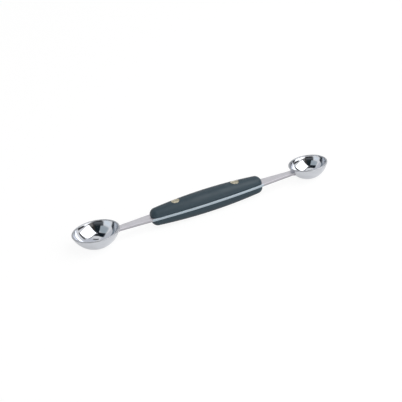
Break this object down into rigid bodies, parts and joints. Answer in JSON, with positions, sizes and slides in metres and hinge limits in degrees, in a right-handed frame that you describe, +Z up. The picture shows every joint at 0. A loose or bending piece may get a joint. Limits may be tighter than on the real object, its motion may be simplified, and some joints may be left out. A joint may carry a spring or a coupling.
{
  "type": "melon baller",
  "caption": "Melon baller with a polished round bowl of a different size at each end of one flat steel strip, and a riveted dark moulded handle in the middle.",
  "frame": {"origin": "under the middle of the tool's length, at the height of the lowest point of the large bowl", "axes": "+X along the tool from the large bowl to the small one, +Y across the handle, +Z up out of the bowls"},
  "size_m": [0.1708, 0.0298, 0.0147],
  "materials": {
    "brushed_strip": "matte, brushed lengthwise",
    "polished_bowl": "mirror polished",
    "dark_scale": "satin, fine grain",
    "brass_rivet": "ground flush, satin"
  },
  "bodies": {
    "root": {"tang_strip": "brushed_strip", "large_bowl": "polished_bowl", "small_bowl": "polished_bowl", "upper_scale": "dark_scale", "lower_scale": "dark_scale", "large_end_rivet_socket": "brass_rivet", "large_end_rivet_pin": "brass_rivet", "small_end_rivet_socket": "brass_rivet", "small_end_rivet_pin": "brass_rivet"}
  },
  "joints": []
}
